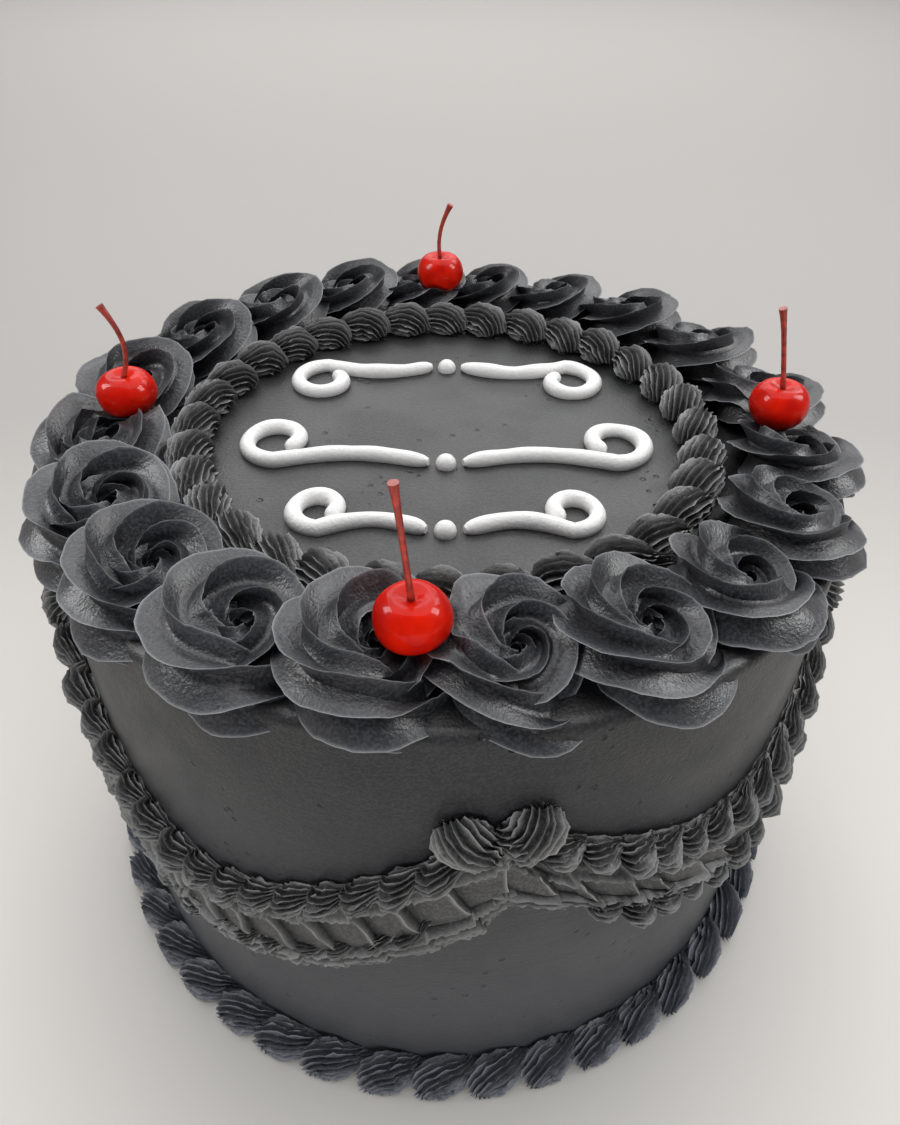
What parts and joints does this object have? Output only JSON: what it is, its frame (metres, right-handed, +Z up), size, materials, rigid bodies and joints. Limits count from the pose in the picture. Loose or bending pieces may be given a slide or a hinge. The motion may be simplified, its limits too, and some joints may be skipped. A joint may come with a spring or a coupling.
{
  "type": "decorated celebration cake",
  "caption": "Tall round cake in black buttercream with a rosette rim, shell borders, a piped side garland and stemmed cherries.",
  "frame": {"origin": "centre of the flat bottom of the cake", "axes": "+Z up along the cake's axis; the front, with the nearest cherry, faces -Y; +X to the right seen from the front"},
  "size_m": [0.3, 0.3, 0.2496],
  "materials": {
    "body_icing": "smooth matte black buttercream",
    "piped_icing": "piped matte black buttercream, soft sheen on the ridges",
    "cherry": "wet glossy red",
    "cherry_stem": "satin dark red"
  },
  "bodies": {
    "root": {"cake_body": "body_icing", "top_border": "piped_icing", "foot_border": "piped_icing", "rosette_01": "piped_icing", "rosette_02": "piped_icing", "rosette_03": "piped_icing", "rosette_04": "piped_icing", "rosette_05": "piped_icing", "rosette_06": "piped_icing", "rosette_07": "piped_icing", "rosette_08": "piped_icing", "rosette_09": "piped_icing", "rosette_10": "piped_icing", "rosette_11": "piped_icing", "rosette_12": "piped_icing", "rosette_13": "piped_icing", "rosette_14": "piped_icing", "rosette_15": "piped_icing", "rosette_16": "piped_icing", "rosette_17": "piped_icing", "rosette_18": "piped_icing", "rosette_19": "piped_icing", "rosette_20": "piped_icing", "swag_1": "piped_icing", "swag_2": "piped_icing", "swag_3": "piped_icing", "swag_4": "piped_icing", "swag_5": "piped_icing", "double_shell_1": "piped_icing", "double_shell_2": "piped_icing", "double_shell_3": "piped_icing", "double_shell_4": "piped_icing", "double_shell_5": "piped_icing", "cherry_front": "cherry", "cherry_right": "cherry", "cherry_back": "cherry", "cherry_left": "cherry", "stem_front": "cherry_stem", "stem_right": "cherry_stem", "stem_back": "cherry_stem", "stem_left": "cherry_stem"}
  },
  "joints": []
}
